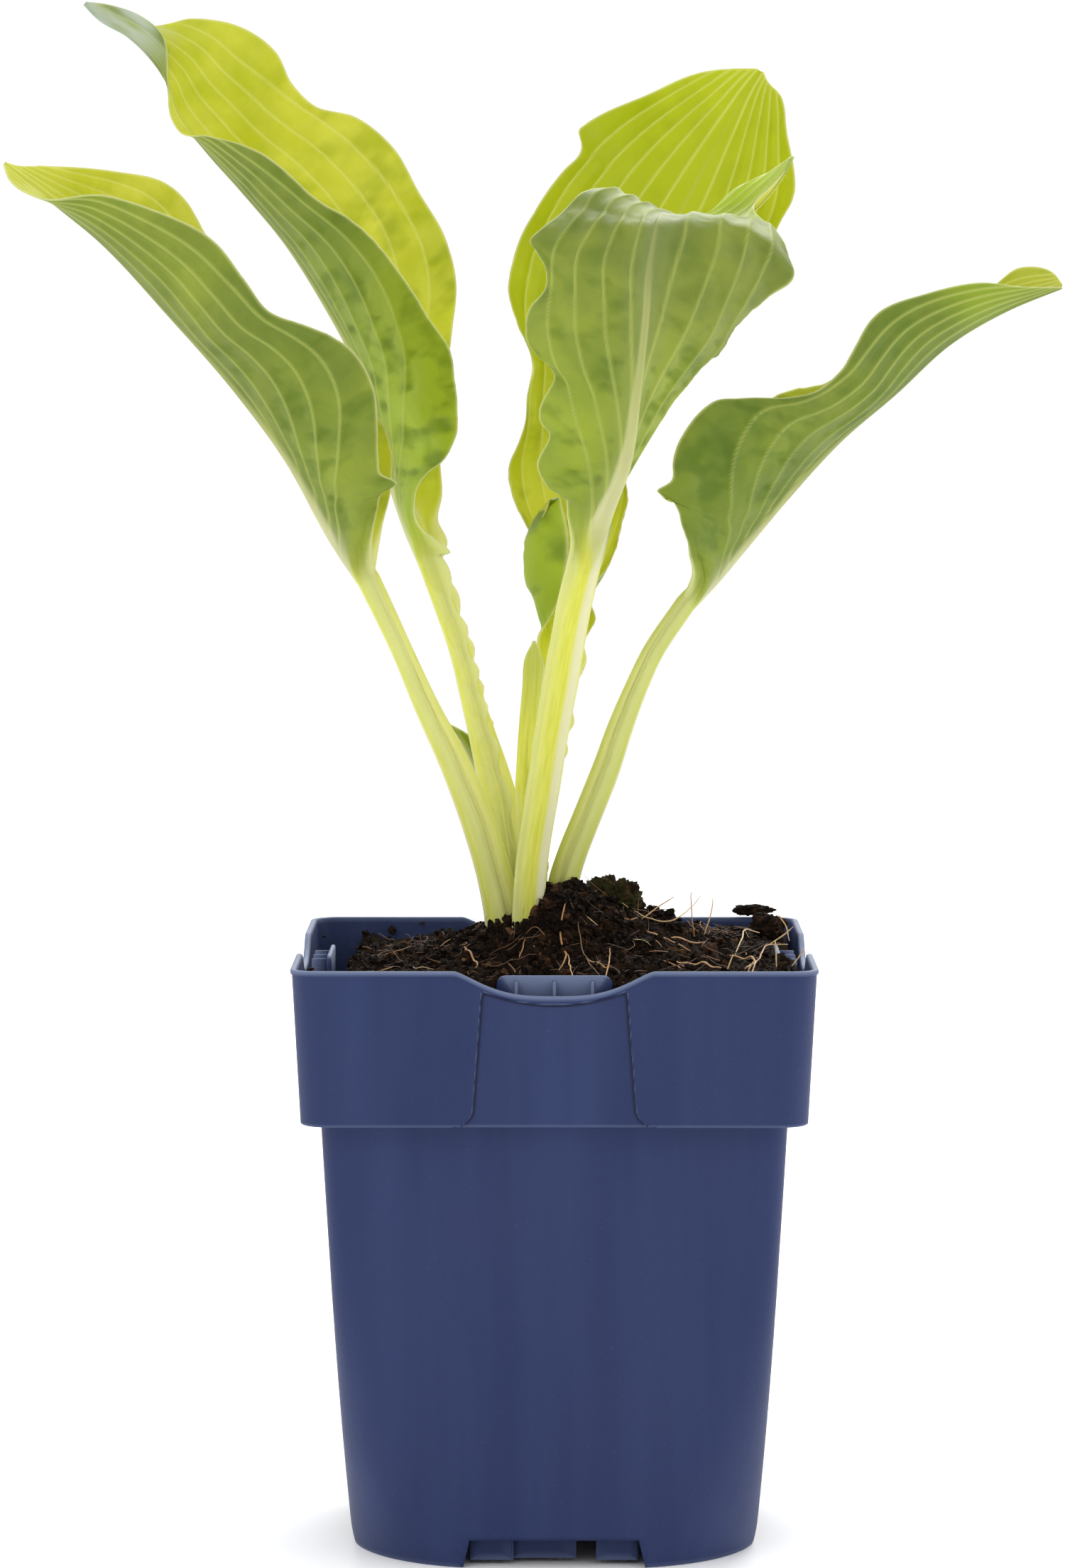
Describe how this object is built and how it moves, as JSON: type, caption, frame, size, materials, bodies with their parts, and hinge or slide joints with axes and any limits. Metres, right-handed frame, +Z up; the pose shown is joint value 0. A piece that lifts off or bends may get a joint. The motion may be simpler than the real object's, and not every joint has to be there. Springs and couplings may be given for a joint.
{
  "type": "potted hosta plant",
  "caption": "Young hosta with broad folded leaves on pale stalks, growing from peat in a tapered square nursery pot with a deep collar.",
  "frame": {"origin": "on the ground under the middle of the pot, which is also the middle of the whole plant's outline seen from above", "axes": "+Z up, -Y toward the side seen from the front, where one leaf leans forward; +X to the right seen from there"},
  "size_m": [0.273, 0.1862, 0.399],
  "materials": {
    "moulded_plastic": "satin",
    "peat": "matte",
    "leaf_blade": "satin",
    "leaf_stalk": "satin",
    "straw_fibre": "matte"
  },
  "bodies": {
    "root": {"pot": "moulded_plastic", "potting_soil": "peat", "soil_clod_middle": "peat", "soil_clod_rim": "peat", "soil_clod_corner": "peat", "crown": "leaf_stalk", "leaf_left": "leaf_blade", "leaf_back_left": "leaf_blade", "leaf_front": "leaf_blade", "leaf_back": "leaf_blade", "leaf_right": "leaf_blade", "leaf_young": "leaf_blade", "leaf_sheath": "leaf_blade", "straw_front_left": "straw_fibre", "straw_middle": "straw_fibre", "straw_front_right": "straw_fibre", "straw_right_long": "straw_fibre", "straw_right_front": "straw_fibre", "straw_corner": "straw_fibre"}
  },
  "joints": []
}
